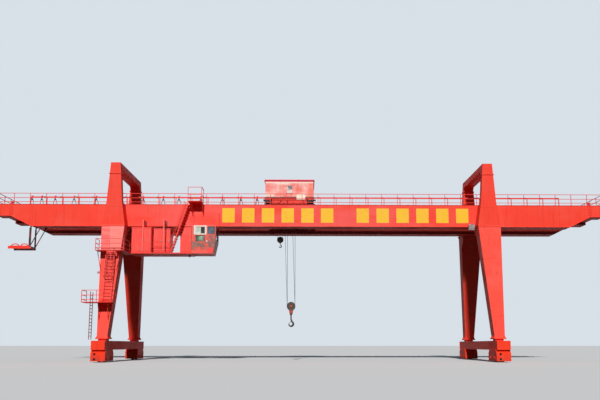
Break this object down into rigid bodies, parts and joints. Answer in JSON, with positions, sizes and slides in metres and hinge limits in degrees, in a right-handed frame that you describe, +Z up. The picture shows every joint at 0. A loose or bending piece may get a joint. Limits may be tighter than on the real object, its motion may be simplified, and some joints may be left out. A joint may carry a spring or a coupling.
{
  "type": "double girder gantry crane, 1:2 scale model",
  "caption": "Gantry crane on box legs with saddles: box girders with cantilevers, travelling hoist trolley, cabin, gallery, ladders, festoon cable and hooks, as a 1:2 scale model.",
  "frame": {"origin": "centre of the crane on the ground rails' top, at the bottoms of the ground wheels", "axes": "+X along the girders, -Y the side with the cabin and the gallery, +Z up"},
  "size_m": [28.3, 7.45, 9.05],
  "materials": {
    "structure_paint": "orange-red gloss paint, slightly faded",
    "railing_paint": "orange-red paint on small sections",
    "house_paint": "orange-red paint on sheet metal",
    "trolley_paint": "weathered pale red paint",
    "block_paint": "worn orange paint",
    "rail_steel": "rolled rail steel, polished on the head",
    "dark_steel": "greased dark steel",
    "wire_rope": "greased wire rope",
    "cable_sheath": "dark rubber sheath",
    "window_glass": "tinted window glass",
    "lamp_housing": "cast lamp housing"
  },
  "bodies": {
    "gantry": {"front_girder": "structure_paint", "rear_girder": "structure_paint", "left_end_beam": "structure_paint", "right_end_beam": "structure_paint", "front_trolley_rail": "rail_steel", "rear_trolley_rail": "rail_steel", "front_left_leg": "structure_paint", "front_right_leg": "structure_paint", "rear_left_leg": "structure_paint", "rear_right_leg": "structure_paint", "left_saddle": "structure_paint", "right_saddle": "structure_paint", "left_ground_beam": "structure_paint", "right_ground_beam": "structure_paint", "front_left_bogie": "structure_paint", "front_right_bogie": "structure_paint", "rear_left_bogie": "structure_paint", "rear_right_bogie": "structure_paint", "front_handrail": "railing_paint", "rear_handrail": "railing_paint", "left_end_handrail": "railing_paint", "right_end_handrail": "railing_paint", "festoon_track": "railing_paint", "festoon_cable": "cable_sheath", "gallery": "railing_paint", "electrical_house_left": "house_paint", "electrical_house_right": "house_paint", "cabinet": "house_paint", "cabin_shell": "house_paint", "cabin_side_glass": "window_glass", "cabin_front_glass": "window_glass", "cabin_hanger": "railing_paint", "stair_flight": "railing_paint", "stair_landing": "railing_paint", "leg_platform": "railing_paint", "caged_ladder": "railing_paint", "lower_platform": "railing_paint", "lower_ladder": "railing_paint", "collector_frame": "railing_paint", "floodlight": "lamp_housing"},
    "trolley": {"trolley_frame": "trolley_paint", "left_wheel_set": "dark_steel", "right_wheel_set": "dark_steel", "trolley_house": "trolley_paint", "trolley_roof": "trolley_paint", "main_drum": "dark_steel", "aux_drum": "dark_steel", "main_rope_front": "wire_rope", "main_rope_rear": "wire_rope", "aux_rope": "wire_rope"},
    "main_block": {"main_block": "block_paint", "main_sheaves": "dark_steel"},
    "main_hook": {"main_hook": "dark_steel"},
    "aux_block": {"aux_block": "dark_steel"}
  },
  "joints": [
    {"name": "trolley_travel", "type": "slide", "parent": "gantry", "child": "trolley", "axis": [1, 0, 0], "range_m": [-9.25, 12.95], "deforming": ["festoon_cable"]},
    {"name": "main_hoist", "type": "slide", "parent": "trolley", "child": "main_block", "axis": [0, 0, 1], "range_m": [-1.45, 4], "deforming": ["main_rope_front", "main_rope_rear"]},
    {"name": "main_hook_swivel", "type": "hinge", "parent": "main_block", "child": "main_hook", "pos_m": [-0.52, 0, 2.158], "axis": [0, 0, 1], "continuous": true},
    {"name": "aux_hoist", "type": "slide", "parent": "trolley", "child": "aux_block", "axis": [0, 0, 1], "range_m": [-4.9, 0.9], "deforming": ["aux_rope"]}
  ]
}
